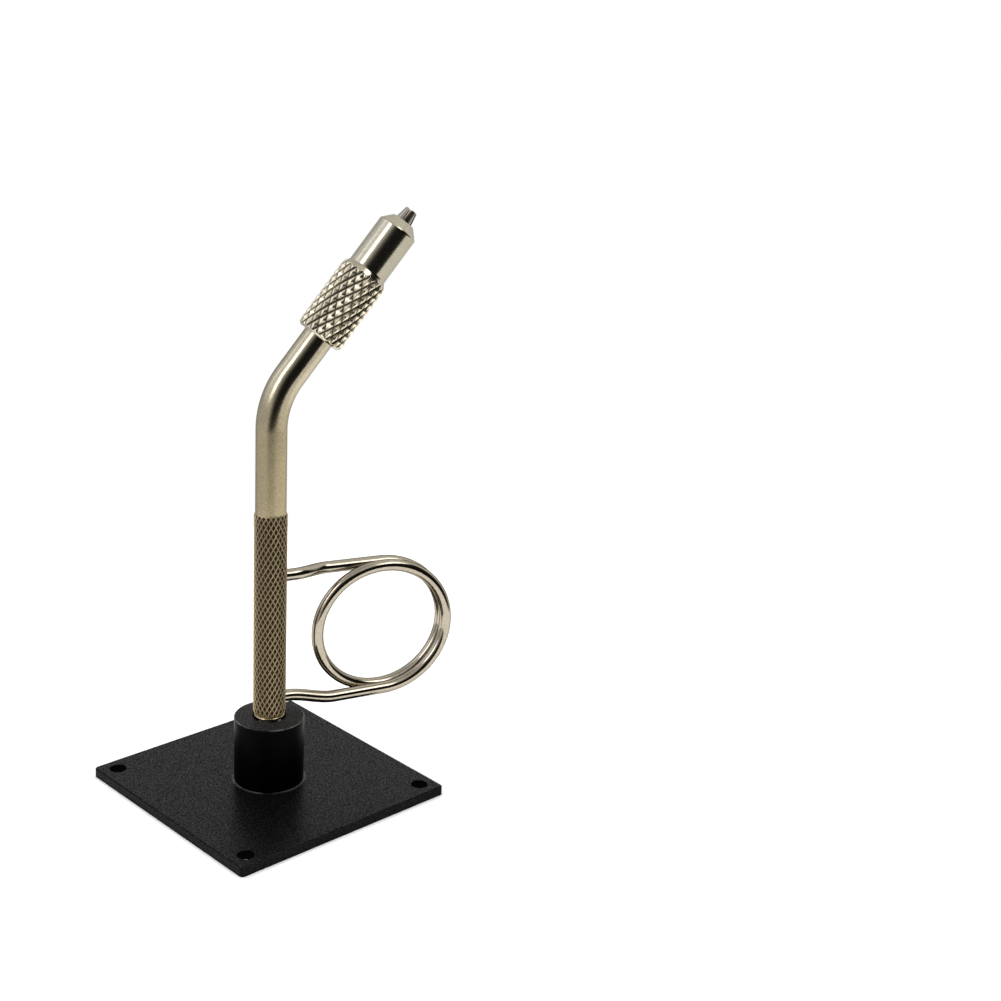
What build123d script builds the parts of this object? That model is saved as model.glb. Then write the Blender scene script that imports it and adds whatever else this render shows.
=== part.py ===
"""Fly tying vise: a bent stem with a finger loop and a collet head, screwed into a plate base.

Frame: millimetres, +Z up, origin at the middle of the plate's underside. The arm leans towards +X and
the finger loop reaches out the same way, so X and Z span the plane that both lie in.
"""

import math
import os

from build123d import *

# Base plate, a square of black coated steel
plate_side = 66.7
plate_thickness = 2.6
plate_corner_radius = 1.0
plate_edge_break = 0.3
plate_turn = 18.0
mount_hole_diameter = 4.5
mount_hole_inset = 4.6

# Socket boss that stands on the plate
socket_diameter = 18.6
socket_height = 18.3
socket_rim_break = 0.5
socket_mouth_bevel = 1.3

# Flat-head screw that holds the boss from below
screw_diameter = 5.0
screw_length = 8.0
screw_head_diameter = 9.2
screw_head_sink = 0.2
screw_head_web = 0.3
screw_drive_flats = 3.0
screw_drive_depth = 1.3

# Threaded stud at the foot of the stem
stud_diameter = 6.35
stud_length = 9.5
stud_end_break = 0.7

# Stem rod, straight from the foot, then bent over into the arm
rod_diameter = 8.0
stem_straight = 79.5
bend_radius = 22.0
bend_angle = 38.0
arm_bare_length = 12.1
arm_thread_length = 15.6
grip_diameter = 8.6
grip_length = 57.35
grip_end_break = 0.5
foot_break = 0.5

# Finger loop, one length of round wire, a little wider than high
wire_diameter = 3.175
loop_half_width = 18.3
loop_half_height = 17.6
loop_stand_off = 7.75
loop_set_back = 1.0
loop_height = 21.1
loop_turn_gap = 0.5
loop_upper_leg_height = 39.55
loop_upper_leg_straight = 2.2
loop_upper_leg_bend_length = 10.9
loop_lower_leg_height = 5.0
loop_lower_leg_straight = 0.6
loop_lower_leg_bend_length = 12.6
loop_leg_depth = 5.5
loop_half_turns = 3

# Collet in the end of the arm: a shank with a collar, and four jaws
collet_diameter = 4.4
collet_shank_length = 9.0
collet_collar_length = 2.0
collet_collar_step = 0.6
jaw_reach = 3.4
jaw_slit = 1.0
jaw_head_step = 0.55
jaw_head_ramp = 1.2
jaw_tip_diameter = 3.3
jaw_angles = {"lower": 0.0, "rear": 90.0, "upper": 180.0, "front": 270.0}
closing_angle = 15.0

# Closing sleeve: knurled grip, sloped shoulder, plain nose and a broad bevel at the tip
sleeve_grip_wall = 2.4
sleeve_grip_length = 18.6
sleeve_shoulder_length = 2.0
sleeve_nose_wall = 1.2
sleeve_nose_length = 12.8
sleeve_bevel_length = 2.5
sleeve_tip_rim = 0.5
sleeve_tip_land = 3.6
sleeve_end_break = 0.8

# Friction ring in the mouth of the sleeve
ring_section = 1.15
ring_inset = 0.4

# Clearances
thread_clearance = 0.05
stud_clearance = 0.04
press_clearance = 0.02
seat_clearance = 0.05
loop_hole_clearance = 0.03
cone_clearance = 0.12
jaw_opening_room = 0.3
jaw_root_gap = 0.15
ring_clearance = 0.05
ring_side_room = 0.1
ring_end_room = 0.45
stud_end_room = 0.5
stud_root_room = 0.7
shank_end_room = 0.4

# Heights up the stem
socket_top = plate_thickness + socket_height
foot = socket_top + seat_clearance
bend_start = foot + stem_straight
bend_tangent = bend_radius * math.tan(math.radians(bend_angle) / 2)
bend_corner = bend_start + bend_tangent

# Places along the arm, measured from the corner of the bend
sleeve_mouth = bend_tangent + arm_bare_length
grip_end = sleeve_mouth + sleeve_grip_length
shoulder_end = grip_end + sleeve_shoulder_length
bevel_start = shoulder_end + sleeve_nose_length
sleeve_tip = bevel_start + sleeve_bevel_length
rod_end = sleeve_mouth + arm_thread_length
collar_end = rod_end + collet_collar_length
jaw_root = collar_end + jaw_root_gap
jaw_tip = sleeve_tip + jaw_reach

# Radii of the fits along the arm
thread_wall = rod_diameter / 2 + thread_clearance
tip_wall = collet_diameter / 2 + jaw_opening_room
head_wall = rod_diameter / 2 - jaw_head_step

# The closing cone in the sleeve, and the cone on the jaws that follows it
cone_slope = math.tan(math.radians(closing_angle))
cone_offset = cone_clearance / math.cos(math.radians(closing_angle))
sleeve_cone_end = sleeve_tip - sleeve_tip_land
sleeve_cone_start = sleeve_cone_end - (thread_wall - tip_wall) / cone_slope
head_top = sleeve_cone_end - (head_wall + cone_offset - tip_wall) / cone_slope
jaw_cone_end = head_top + (head_wall - collet_diameter / 2) / cone_slope

# Directions of the arm: along it, and square to it within the plane of the bend
arm_lean = math.radians(bend_angle)
arm_along = Vector(math.sin(arm_lean), 0, math.cos(arm_lean))
arm_across = Vector(math.cos(arm_lean), 0, -math.sin(arm_lean))
sideways = Vector(0, 1, 0)
arm_corner = Vector(0, 0, bend_corner)
arm_axis = Axis(arm_corner, arm_along)

# Half section of the arm: local x runs outwards from the axis, local y along it
arm_section = Plane(origin=arm_corner, x_dir=arm_across, z_dir=-sideways)
arm_end = Plane(origin=arm_corner + arm_along * rod_end, x_dir=arm_across, z_dir=arm_along)
plate_plane = Plane.XY.rotated((0, 0, plate_turn))


def write(builder, name):
    """Label a finished piece and write it to its own file."""
    builder.part.label = name
    export_step(builder.part, f"parts/{name}.step")


os.makedirs("parts", exist_ok=True)

# Base plate: square, with a hole in each corner and a countersunk hole in the middle
hole_pitch = plate_side - 2 * mount_hole_inset
screw_wall = screw_diameter / 2 + press_clearance
screw_head_wall = screw_head_diameter / 2 + press_clearance
screw_neck = plate_thickness - screw_head_web
with BuildPart() as base_plate:
    with BuildSketch(plate_plane):
        RectangleRounded(plate_side, plate_side, plate_corner_radius)
    extrude(amount=plate_thickness)
    chamfer(base_plate.faces().sort_by(Axis.Z)[-1].edges(), plate_edge_break)
    with BuildSketch(plate_plane):
        with GridLocations(hole_pitch, hole_pitch, 2, 2):
            Circle(mount_hole_diameter / 2)
    extrude(amount=plate_thickness, mode=Mode.SUBTRACT)
    with BuildSketch(Plane.XZ):
        with BuildLine():
            Polyline(
                (0, 0),
                (screw_head_wall, 0),
                (screw_head_wall, screw_head_sink),
                (screw_wall, screw_neck),
                (screw_wall, plate_thickness),
                (0, plate_thickness),
                close=True,
            )
        make_face()
    revolve(axis=Axis.Z, mode=Mode.SUBTRACT)
write(base_plate, "base_plate")

# Socket boss: bored for the stud from above and for the screw from below
socket_wall = stud_diameter / 2 + thread_clearance
socket_floor = foot - stud_length - stud_end_room
with BuildPart() as base_socket:
    with BuildSketch(Plane.XY.offset(plate_thickness)):
        Circle(socket_diameter / 2)
    extrude(amount=socket_height)
    chamfer(base_socket.edges().sort_by(Axis.Z)[-1], socket_rim_break)
    with BuildSketch(Plane.XZ):
        with BuildLine():
            Polyline(
                (0, plate_thickness),
                (screw_wall, plate_thickness),
                (screw_wall, socket_floor),
                (socket_wall, socket_floor),
                (socket_wall, socket_top - socket_mouth_bevel),
                (socket_wall + socket_mouth_bevel, socket_top),
                (0, socket_top),
                close=True,
            )
        make_face()
    revolve(axis=Axis.Z, mode=Mode.SUBTRACT)
write(base_socket, "base_socket")

# Flat-head screw, with a six-sided drive in its head
screw_end = screw_head_sink + screw_length
with BuildPart() as socket_screw:
    with BuildSketch(Plane.XZ):
        with BuildLine():
            Polyline(
                (0, screw_head_sink),
                (screw_head_diameter / 2, screw_head_sink),
                (screw_diameter / 2, screw_neck),
                (screw_diameter / 2, screw_end),
                (0, screw_end),
                close=True,
            )
        make_face()
    revolve(axis=Axis.Z)
    with BuildSketch(Plane.XY.offset(screw_head_sink)):
        RegularPolygon(screw_drive_flats / 2, 6, major_radius=False)
    extrude(amount=screw_drive_depth, mode=Mode.SUBTRACT)
write(socket_screw, "socket_screw")

# Stud at the foot of the stem: its root sits in the rod, the rest in the socket
stud_root_length = loop_lower_leg_height - wire_diameter / 2 - stud_root_room
with BuildPart() as stem_stud:
    with BuildSketch(Plane.XY.offset(foot - stud_length)):
        Circle(stud_diameter / 2)
    extrude(amount=stud_length + stud_root_length)
    chamfer(stem_stud.edges().group_by(Axis.Z)[0], stud_end_break)
write(stem_stud, "stem_stud")

# Stem rod: bent bar with a thicker knurled grip, bored at both ends and cross drilled for the loop
grip_top = foot + grip_length
with BuildPart() as stem_rod:
    with BuildLine(Plane.XZ):
        upright = Line((0, foot), (0, bend_start))
        bend = JernArc(upright @ 1, upright % 1, bend_radius, -bend_angle)
        PolarLine(bend @ 1, rod_end - bend_tangent, direction=bend % 1)
    with BuildSketch(Plane.XY.offset(foot)):
        Circle(rod_diameter / 2)
    sweep()
    with BuildSketch(Plane.XZ):
        with BuildLine():
            Polyline(
                (0, foot),
                (grip_diameter / 2 - foot_break, foot),
                (grip_diameter / 2, foot + foot_break),
                (grip_diameter / 2, grip_top - grip_end_break),
                (grip_diameter / 2 - grip_end_break, grip_top),
                (0, grip_top),
                close=True,
            )
        make_face()
    revolve(axis=Axis.Z)
    with BuildSketch(Plane.XY.offset(foot)):
        Circle(stud_diameter / 2 + stud_clearance)
    extrude(amount=stud_root_length + stud_clearance, mode=Mode.SUBTRACT)
    with BuildSketch(Plane.YZ.offset(grip_diameter / 2)):
        with Locations((0, foot + loop_lower_leg_height), (0, foot + loop_upper_leg_height)):
            Circle(wire_diameter / 2 + loop_hole_clearance)
    extrude(amount=-loop_leg_depth, mode=Mode.SUBTRACT)
    with BuildSketch(arm_end):
        Circle(collet_diameter / 2 + press_clearance)
    extrude(amount=-(collet_shank_length + shank_end_room), mode=Mode.SUBTRACT)
write(stem_rod, "stem_rod")

# Finger loop: out of the stem, one and a half turns round the finger, and back into the stem
turn_pitch = wire_diameter + loop_turn_gap
loop_reach = grip_diameter / 2 + loop_stand_off + wire_diameter / 2 + loop_half_width
loop_centre = Vector(loop_reach, loop_set_back, foot + loop_height)
leg_inner_end = grip_diameter / 2 - loop_leg_depth + loop_hole_clearance
upper_bend_start = grip_diameter / 2 + loop_upper_leg_straight
upper_bend_end = upper_bend_start + loop_upper_leg_bend_length
lower_bend_start = grip_diameter / 2 + loop_lower_leg_straight
lower_bend_end = lower_bend_start + loop_lower_leg_bend_length
last_quarter = 2 * loop_half_turns
outwards = Vector(1, 0, 0)


def loop_point(quarter):
    """Point of the coil after a number of quarter turns from its top, going over towards +X."""
    angle = math.radians(90 - 90 * quarter)
    drift = turn_pitch * (loop_half_turns - quarter) / 4
    return loop_centre + Vector(loop_half_width * math.cos(angle), drift, loop_half_height * math.sin(angle))


def loop_heading(quarter):
    """Unit heading of the wire there."""
    angle = math.radians(90 - 90 * quarter)
    drift = -turn_pitch / (2 * math.pi)
    return Vector(loop_half_width * math.sin(angle), drift, -loop_half_height * math.cos(angle)).normalized()


def biarc(start, start_heading, end, end_heading):
    """Two arcs that leave start along one heading, share a tangent and reach end along the other."""
    span = end - start
    along = span.dot(start_heading + end_heading)
    spread = 2 * (1 - start_heading.dot(end_heading))
    square = span.dot(span)
    reach = square / (along + math.sqrt(along * along + spread * square))
    first_corner = start + start_heading * reach
    last_corner = end - end_heading * reach
    middle = (first_corner + last_corner) / 2
    TangentArc(start, middle, tangent=start_heading)
    TangentArc(middle, end, tangent=(last_corner - first_corner).normalized())


def leg_straight_end(quarter, reach):
    """Where the straight stretch of a leg, laid along the coil's tangent, gives way to its bend."""
    heading = loop_heading(quarter)
    return loop_point(quarter) - heading * ((loop_reach - reach) / heading.X)


upper_exit = Vector(upper_bend_start, 0, foot + loop_upper_leg_height)
lower_exit = Vector(lower_bend_start, 0, foot + loop_lower_leg_height)
upper_straight_end = leg_straight_end(0, upper_bend_end)
lower_straight_end = leg_straight_end(last_quarter, lower_bend_end)
upper_root = Vector(leg_inner_end, 0, upper_exit.Z)
lower_root = Vector(leg_inner_end, 0, lower_exit.Z)
with BuildPart() as finger_loop:
    with BuildLine() as loop_path:
        Line(upper_root, upper_exit)
        biarc(upper_exit, outwards, upper_straight_end, loop_heading(0))
        Line(upper_straight_end, loop_point(0))
        for turn in range(last_quarter):
            biarc(loop_point(turn), loop_heading(turn), loop_point(turn + 1), loop_heading(turn + 1))
        Line(loop_point(last_quarter), lower_straight_end)
        biarc(lower_straight_end, loop_heading(last_quarter), lower_exit, -outwards)
        Line(lower_exit, lower_root)
    with BuildSketch(Plane(origin=upper_root, z_dir=outwards)):
        Circle(wire_diameter / 2)
    sweep()
write(finger_loop, "finger_loop")

# Least gap of the wire to itself, between points more than a few wire widths apart along it
loop_wire = loop_path.wire()
loop_samples = 600
apart_share = 4 * wire_diameter / loop_wire.length
apart = math.ceil(apart_share * loop_samples)
loop_points = [loop_wire @ (index / loop_samples) for index in range(loop_samples + 1)]
loop_pairs = (
    (first - second).length
    for index, first in enumerate(loop_points)
    for second in loop_points[index + apart :]
)
print(f"finger loop, least gap of the wire to itself: {min(loop_pairs) - wire_diameter:.2f} mm")
wire_volume = math.pi * wire_diameter**2 / 4 * loop_wire.length
print(f"finger loop, volume over section times length: {finger_loop.part.volume / wire_volume:.4f}")

# Collet shank: pressed into the end of the arm up to its collar
shank_start = rod_end - collet_shank_length
collar_wall = rod_diameter / 2 - collet_collar_step
with BuildPart() as collet_shank:
    with BuildSketch(arm_section):
        with BuildLine():
            Polyline(
                (0, shank_start),
                (collet_diameter / 2, shank_start),
                (collet_diameter / 2, rod_end),
                (collar_wall, rod_end),
                (collar_wall, collar_end),
                (0, collar_end),
                close=True,
            )
        make_face()
    revolve(axis=arm_axis)
write(collet_shank, "collet_shank")

# Collet jaws: four quarters of a slit collet, with a cone that the sleeve closes on
for jaw_name, jaw_angle in jaw_angles.items():
    with BuildPart() as jaw:
        with BuildSketch(arm_section):
            with BuildLine():
                Polyline(
                    (0, jaw_root),
                    (collet_diameter / 2, jaw_root),
                    (collet_diameter / 2, head_top - jaw_head_ramp),
                    (head_wall, head_top),
                    (collet_diameter / 2, jaw_cone_end),
                    (collet_diameter / 2, sleeve_tip),
                    (jaw_tip_diameter / 2, jaw_tip),
                    (0, jaw_tip),
                    close=True,
                )
            make_face()
        revolve(axis=arm_axis)
        for side in (-45, 45):
            slit_angle = math.radians(jaw_angle + side)
            facing = arm_across * math.cos(slit_angle) + sideways * math.sin(slit_angle)
            split(bisect_by=Plane(origin=arm_corner + facing * (jaw_slit / 2), z_dir=facing))
    write(jaw, f"jaw_{jaw_name}")

# Closing sleeve: turned outside, bored inside for the ring, the thread, the jaws and the closing cone
sleeve_wall = thread_wall + sleeve_grip_wall
nose_wall = thread_wall + sleeve_nose_wall
mouth_wall = rod_diameter / 2 + ring_clearance + ring_section + ring_side_room
mouth_floor = sleeve_mouth + ring_inset + ring_section + ring_end_room
with BuildPart() as closing_sleeve:
    with BuildSketch(arm_section):
        with BuildLine():
            Polyline(
                (mouth_wall, sleeve_mouth),
                (sleeve_wall - sleeve_end_break, sleeve_mouth),
                (sleeve_wall, sleeve_mouth + sleeve_end_break),
                (sleeve_wall, grip_end),
                (nose_wall, shoulder_end),
                (nose_wall, bevel_start),
                (tip_wall + sleeve_tip_rim, sleeve_tip),
                (tip_wall, sleeve_tip),
                (tip_wall, sleeve_cone_end),
                (thread_wall, sleeve_cone_start),
                (thread_wall, mouth_floor),
                (mouth_wall, mouth_floor),
                close=True,
            )
        make_face()
    revolve(axis=arm_axis)
write(closing_sleeve, "closing_sleeve")

# Friction ring: a round rubber ring between the rod and the mouth of the sleeve
ring_middle = rod_diameter / 2 + ring_clearance + ring_section / 2
with BuildPart() as sleeve_friction_ring:
    with BuildSketch(arm_section):
        with Locations((ring_middle, sleeve_mouth + ring_inset + ring_section / 2)):
            Circle(ring_section / 2)
    revolve(axis=arm_axis)
write(sleeve_friction_ring, "sleeve_friction_ring")
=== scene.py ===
"""Looks of a fly tying vise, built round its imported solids.

Frame: metres, +Z up along the stem, origin at the middle of the plate's underside. The arm leans towards +X
and the finger loop reaches out the same way. The file is laid out as an add-on and is run as a script.
"""

import math
from collections import namedtuple

import bpy
import numpy as np
from bpy.props import FloatProperty, FloatVectorProperty, IntProperty, PointerProperty
from bpy.types import Operator, Panel, PropertyGroup
from mathutils import Matrix, Vector


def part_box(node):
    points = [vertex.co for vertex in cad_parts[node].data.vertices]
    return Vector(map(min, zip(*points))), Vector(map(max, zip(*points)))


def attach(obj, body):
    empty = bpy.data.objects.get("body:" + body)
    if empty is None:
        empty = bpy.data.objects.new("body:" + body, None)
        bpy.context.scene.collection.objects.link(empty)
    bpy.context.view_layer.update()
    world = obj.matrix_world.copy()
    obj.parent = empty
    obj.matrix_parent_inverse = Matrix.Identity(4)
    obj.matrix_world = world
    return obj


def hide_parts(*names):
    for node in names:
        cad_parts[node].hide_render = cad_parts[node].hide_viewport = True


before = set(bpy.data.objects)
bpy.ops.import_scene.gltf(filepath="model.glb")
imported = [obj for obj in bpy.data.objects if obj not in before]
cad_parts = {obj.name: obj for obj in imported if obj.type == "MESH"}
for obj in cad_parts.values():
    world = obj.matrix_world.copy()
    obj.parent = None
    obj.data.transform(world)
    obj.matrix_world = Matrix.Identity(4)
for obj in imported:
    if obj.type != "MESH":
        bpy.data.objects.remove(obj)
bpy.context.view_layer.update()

bl_info = {
    "name": "Fly tying vise",
    "version": (1, 0, 0),
    "blender": (4, 5, 0),
    "location": "3D View > Sidebar > Vise",
    "description": "Builds the looks of a fly tying vise",
    "category": "Object",
}

MM = 0.001
AXIS_X, AXIS_Y, AXIS_Z = np.eye(3)
# Groove attribute on the crests of a knurl; it is nought on plain metal and one in the grooves
CREST = 0.1
# Points round the turned pieces, and rows of points along the stud and one turn of the wire
ROUND = {"boss": 160, "stud": 72, "wire": 28, "ring": 96, "ring section": 20, "floor": 96}
STUD_ROWS = 161
ROWS_A_TURN = 120
# Sockets of the Mix node that carry colours, by number because others have the same names
MIX_FIRST = 6
MIX_SECOND = 7
MIX_RESULT = 2
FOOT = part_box("stem_rod")[0].z
SOCKET_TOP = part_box("base_socket")[1].z
PLATE_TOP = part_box("base_plate")[1].z
STUD_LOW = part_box("stem_stud")[0].z
STUD_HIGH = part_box("stem_stud")[1].z


def size(name, description, millimetres):
    """Length property, its default given in millimetres."""
    default = millimetres * MM
    return FloatProperty(name=name, description=description, default=default, unit="LENGTH", precision=5)


def point(name, description, millimetres):
    """Point property, its default given in millimetres."""
    default = [part * MM for part in millimetres]
    kind = {"subtype": "TRANSLATION", "unit": "LENGTH"}
    return FloatVectorProperty(name=name, description=description, default=default, **kind)


def turn(name, description, degrees):
    """Angle property, its default given in degrees."""
    default = math.radians(degrees)
    return FloatProperty(name=name, description=description, default=default, subtype="ANGLE")


def colour(name, description, default):
    """Colour property, linear red, green and blue."""
    kind = {"subtype": "COLOR", "min": 0, "max": 1}
    return FloatVectorProperty(name=name, description=description, default=default, **kind)


def count(name, description, default, least):
    """Whole number property with its least value."""
    return IntProperty(name=name, description=description, default=default, min=least)


def amount(name, description, default, **kind):
    """Property of nought or more, with its unit or its subtype."""
    return FloatProperty(name=name, description=description, default=default, min=0, **kind)


class ViseStem(PropertyGroup):
    """Sizes and colours of the stem and its knurled grip."""

    rod_diameter: size("Rod diameter", "Diameter of the bent bar", 8.0)
    straight: size("Straight length", "Stem below the bend", 79.5)
    bend_radius: size("Bend radius", "Radius at the bar's middle", 22.0)
    bend_angle: turn("Bend angle", "Lean of the arm from upright", 38.0)
    arm_length: size("Arm length", "Bar above the bend", 27.7)
    grip_diameter: size("Grip diameter", "Diameter over the knurl", 8.6)
    grip_length: size("Grip length", "Length of the knurled grip", 57.35)
    foot_bead: size("Foot bead", "Height of the bead at the foot", 0.8)
    foot_step: size("Foot step", "Step in from the knurl to the bead", 0.65)
    grip_end_break: size("Grip end bevel", "Bevel at the top of the grip", 0.5)
    stud_hole: size("Stud hole", "Diameter of the stud's hole", 6.43)
    stud_hole_depth: size("Stud hole depth", "Depth of the stud's hole", 2.7525)
    collet_hole: size("Collet hole", "Diameter of the collet's hole", 4.44)
    collet_hole_depth: size("Collet hole depth", "Depth of the collet's hole", 9.4)
    knurl_around: count("Knurl diamonds", "Diamonds round the grip", 20, 3)
    knurl_pitch: size("Knurl pitch", "Length of one diamond", 2.37)
    knurl_depth: size("Knurl depth", "Depth of the grooves", 0.35)
    # Warm metal below the bend and paler metal above it: painted reflection, each part tinted for the
    # surroundings it mirrors
    metal: colour("Metal", "Warm nickel of the stem", (0.55, 0.46, 0.28))
    arm_painted_reflection: colour("Arm metal", "Paler nickel above the bend", (0.55, 0.485, 0.35))
    # Knurl face colours: browner at the grip's top, lighter at its foot; wear, with painted light and shade
    # of the facets
    wear_and_light: colour("Worn grip", "Browner metal at the grip's top", (0.48, 0.38, 0.24))
    foot_wear_and_light: colour("Worn foot", "Lighter metal at the grip's foot", (0.63, 0.505, 0.305))
    # Groove colour: dirt, and painted shade in the recesses of the knurl
    grime_and_shade: colour("Groove", "Dull metal in the grooves", (0.055, 0.038, 0.015))


class ViseStud(PropertyGroup):
    """Sizes and colour of the threaded stud."""

    diameter: size("Stud diameter", "Diameter over the thread", 6.35)
    pitch: size("Pitch", "Rise of the thread in one turn", 1.27)
    depth: size("Thread depth", "Depth of the thread", 0.68)
    end_break: size("End bevel", "Bevel at the end of the stud", 0.7)
    run_out: size("Run-out", "Plain neck under the stem", 0.4)
    metal: colour("Metal", "Machined steel of the stud", (0.6, 0.56, 0.49))


class ViseLoop(PropertyGroup):
    """Sizes and colour of the finger loop."""

    wire_diameter: size("Wire diameter", "Diameter of the wire", 3.175)
    half_width: size("Half width", "Half the coil's width at the wire's middle", 18.3)
    half_height: size("Half height", "Half the coil's height at the wire's middle", 17.6)
    stand_off: size("Stand-off", "Gap between the grip and the coil", 7.75)
    set_back: size("Set-back", "Coil's middle behind the plane of the bend", 1.0)
    height: size("Height", "Coil's middle above the foot", 21.1)
    turn_gap: size("Turn gap", "Gap between the turns", 0.02)
    turns: FloatProperty(name="Turns", description="Turns of the coil", default=1.5, min=0.5)
    upper_leg: size("Upper leg", "Height above the foot", 39.55)
    upper_straight: size("Upper straight", "Straight stretch outside the grip", 2.2)
    upper_bend: size("Upper bend", "Reach of the double bend", 10.9)
    lower_leg: size("Lower leg", "Height above the foot", 5.0)
    lower_straight: size("Lower straight", "Straight stretch outside the grip", 0.6)
    lower_bend: size("Lower bend", "Reach of the double bend", 12.6)
    leg_depth: size("Leg depth", "Depth of a leg's end in the stem", 5.4)
    metal: colour("Metal", "Bright nickel of the wire", (0.51, 0.455, 0.355))


class ViseHead(PropertyGroup):
    """Sizes and colours of the closing sleeve, its friction ring and the jaws."""

    mouth: size("Mouth", "Sleeve's mouth on the arm, from the bend's corner", 19.6752)
    grip_length: size("Grip length", "Length of the knurled grip", 18.6)
    shoulder_length: size("Shoulder length", "Length of the sloped shoulder", 2.0)
    nose_length: size("Nose length", "Length of the plain nose", 12.8)
    bevel_length: size("Bevel length", "Length of the bevel at the tip", 2.5)
    grip_diameter: size("Grip diameter", "Diameter over the knurl", 12.9)
    nose_diameter: size("Nose diameter", "Diameter of the plain nose", 10.5)
    tip_diameter: size("Tip diameter", "Outer diameter at the tip", 6.0)
    tip_bore: size("Tip bore", "Diameter of the hole at the tip", 5.0)
    tip_land: size("Tip land", "Length of the hole at the tip", 3.6)
    thread_bore: size("Thread bore", "Diameter of the threaded bore", 8.1)
    mouth_bore: size("Mouth bore", "Diameter of the counterbore", 10.6)
    mouth_depth: size("Mouth depth", "Depth of the counterbore", 2.0)
    end_break: size("End bevel", "Bevel at the mouth", 0.9)
    closing_angle: turn("Closing angle", "Slope of the closing cone", 15.0)
    knurl_around: count("Knurl diamonds", "Diamonds round the grip", 18, 3)
    knurl_pitch: size("Knurl pitch", "Length of one diamond", 3.94)
    knurl_depth: size("Knurl depth", "Depth of the grooves", 0.6)
    ring_section: size("Ring section", "Thickness of the ring", 1.15)
    ring_diameter: size("Ring diameter", "Diameter at the ring's middle", 9.25)
    ring_place: size("Ring place", "Ring's middle inside the mouth", 0.975)
    jaw_root: size("Jaw root", "Jaws' roots on the arm, from the bend's corner", 37.4252)
    jaw_head: size("Jaw head", "Jaws' widest part on the arm, from the bend's corner", 47.9661)
    jaw_head_ramp: size("Jaw head ramp", "Ramp below the widest part", 1.2)
    jaw_head_diameter: size("Jaw head diameter", "Diameter over the widest part", 6.9)
    jaw_diameter: size("Jaw diameter", "Diameter below the tip", 4.4)
    jaw_tip_diameter: size("Jaw tip diameter", "Diameter at the tip", 3.3)
    jaw_reach: size("Jaw reach", "Reach out of the sleeve", 3.4)
    jaw_slit: size("Jaw slit", "Width of the slits", 1.0)
    jaw_round: size("Jaw rounding", "Rounding of the jaws' tips", 0.3)
    jaw_edge: size("Jaw edge", "Rounding of the jaws' edges", 0.05)
    metal: colour("Metal", "Polished nickel of the sleeve", (0.6, 0.55, 0.42))
    crest: colour("Crest", "Brighter metal on the crests", (0.95, 0.85, 0.64))
    # Groove colour: dirt, and painted shade in the recesses of the knurl
    grime_and_shade: colour("Groove", "Dull metal in the grooves", (0.045, 0.035, 0.02))
    steel: colour("Steel", "Hardened steel of the collet", (0.5, 0.45, 0.38))
    rubber: colour("Rubber", "Black rubber of the ring", (0.01, 0.01, 0.01))
    bloom: colour("Bloom", "Greyer bloom on the rubber", (0.03, 0.03, 0.03))


class ViseBase(PropertyGroup):
    """Sizes and colours of the plate and the boss."""

    plate_turn: turn("Plate turn", "Turn of the plate about the stem", 18.0)
    plate_width: size("Plate width", "Side of the square plate", 66.7)
    socket_diameter: size("Boss diameter", "Diameter of the boss", 18.6)
    socket_rim: size("Boss rim", "Rounding of the boss's rim", 0.4)
    socket_bore: size("Boss bore", "Diameter of the stud's bore", 6.45)
    socket_bevel: size("Mouth bevel", "Bevel at the mouth of the bore", 1.3)
    socket_floor: size("Bore floor", "Bore's floor above the table", 10.95)
    screw_bore: size("Screw bore", "Diameter of the screw's bore", 5.04)
    rub_width: size("Rub width", "Width of the rub round the boss", 0.8)
    coat: colour("Coat", "Black coat of the plate", (0.0016, 0.0016, 0.0018))
    speck: colour("Speck", "Paler specks and wear in the coat", (0.07, 0.069, 0.066))
    gloss: colour("Boss coat", "Glossier black of the boss", (0.0003, 0.0003, 0.0006))
    bare: colour("Bare metal", "Metal where the coat is rubbed through", (0.16, 0.155, 0.145))
    screw: colour("Screw", "Blackened steel of the screw", (0.05, 0.05, 0.052))


class ViseStage(PropertyGroup):
    """Camera, floor and light."""

    azimuth: turn("Azimuth", "Turn of the camera round the vise", -27.19)
    elevation: turn("Elevation", "Camera above the horizon", 19.31)
    roll: turn("Roll", "Roll of the camera", 3.09)
    distance: size("Distance", "From the camera to the target", 443.72)
    target: point("Target", "Point at the middle of the picture", (51.94, -26.68, 84.86))
    lens: amount("Lens", "Focal length on a 36 mm sensor", 62.8, subtype="DISTANCE_CAMERA")
    floor_radius: size("Floor radius", "Radius of the white floor", 200.0)
    floor_gap: size("Floor gap", "Gap between the plate and the floor", 0.02)
    floor: colour("Floor", "Colour of the floor", (0.93, 0.925, 0.915))
    surround: amount("Surround", "Brightness of the white surround", 0.62)
    dark: amount("Dark front", "Brightness of the dark front", 0.012)
    softbox: amount("Softbox", "Brightness that the softboxes add", 3.2)
    overhead: amount("Overhead", "Power of the overhead light", 8.5, unit="POWER")
    overhead_place: point("Overhead place", "Where the overhead light hangs", (50.0, 250.0, 1100.0))


# Two colours, and the heights on the object between which the upper takes over from the lower
Graded = namedtuple("Graded", "lower upper low high")

# Regions of the room that the metal mirrors: strength, then the azimuths, from the front towards +X,
# between which a region rises and then falls, then the elevations likewise, all in degrees
ROOM = {
    "front": (1.0, (-60, -56, 72, 88), (-18.1, -15.7, 34, 44)),
    "softbox": (1.0, (-84, -78, -62, -58), (4, 28, 44, 52)),
    "key": (0.8, (12, 26, 60, 74), (37, 43, 58, 64)),
    "spill": (0.4, (-178, -110, -80, -70), (0, 20, 55, 65)),
    "strip": (0.5, (-128, -123, -116, -111), (14, 28, 50, 60)),
}


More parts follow.
